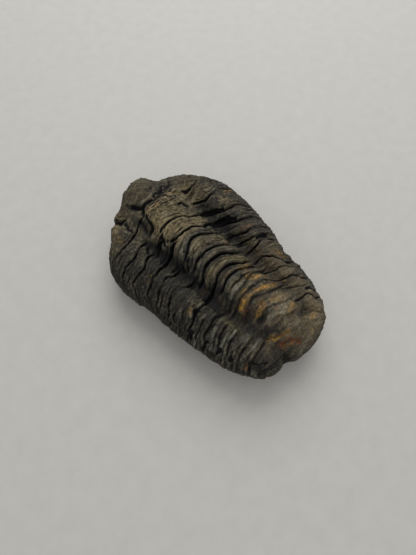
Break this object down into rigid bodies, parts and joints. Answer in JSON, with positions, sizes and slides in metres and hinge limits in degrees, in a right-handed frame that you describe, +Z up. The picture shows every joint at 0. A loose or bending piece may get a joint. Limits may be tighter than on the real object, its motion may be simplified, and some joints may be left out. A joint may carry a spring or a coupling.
{
  "type": "trilobite fossil",
  "caption": "Weathered trilobite fossil, whole and lying flat, with a raised middle lobe, ribbed side lobes, a domed head and a blunt notched tail.",
  "frame": {"origin": "centre of the box round the fossil, on the surface that it rests on", "axes": "+Y from tail to head, +Z up out of the back, +X to the animal's right"},
  "size_m": [0.0406, 0.0634, 0.0172],
  "materials": {
    "stone": "matt dark fossil stone"
  },
  "bodies": {
    "root": {"trilobite": "stone"}
  },
  "joints": []
}
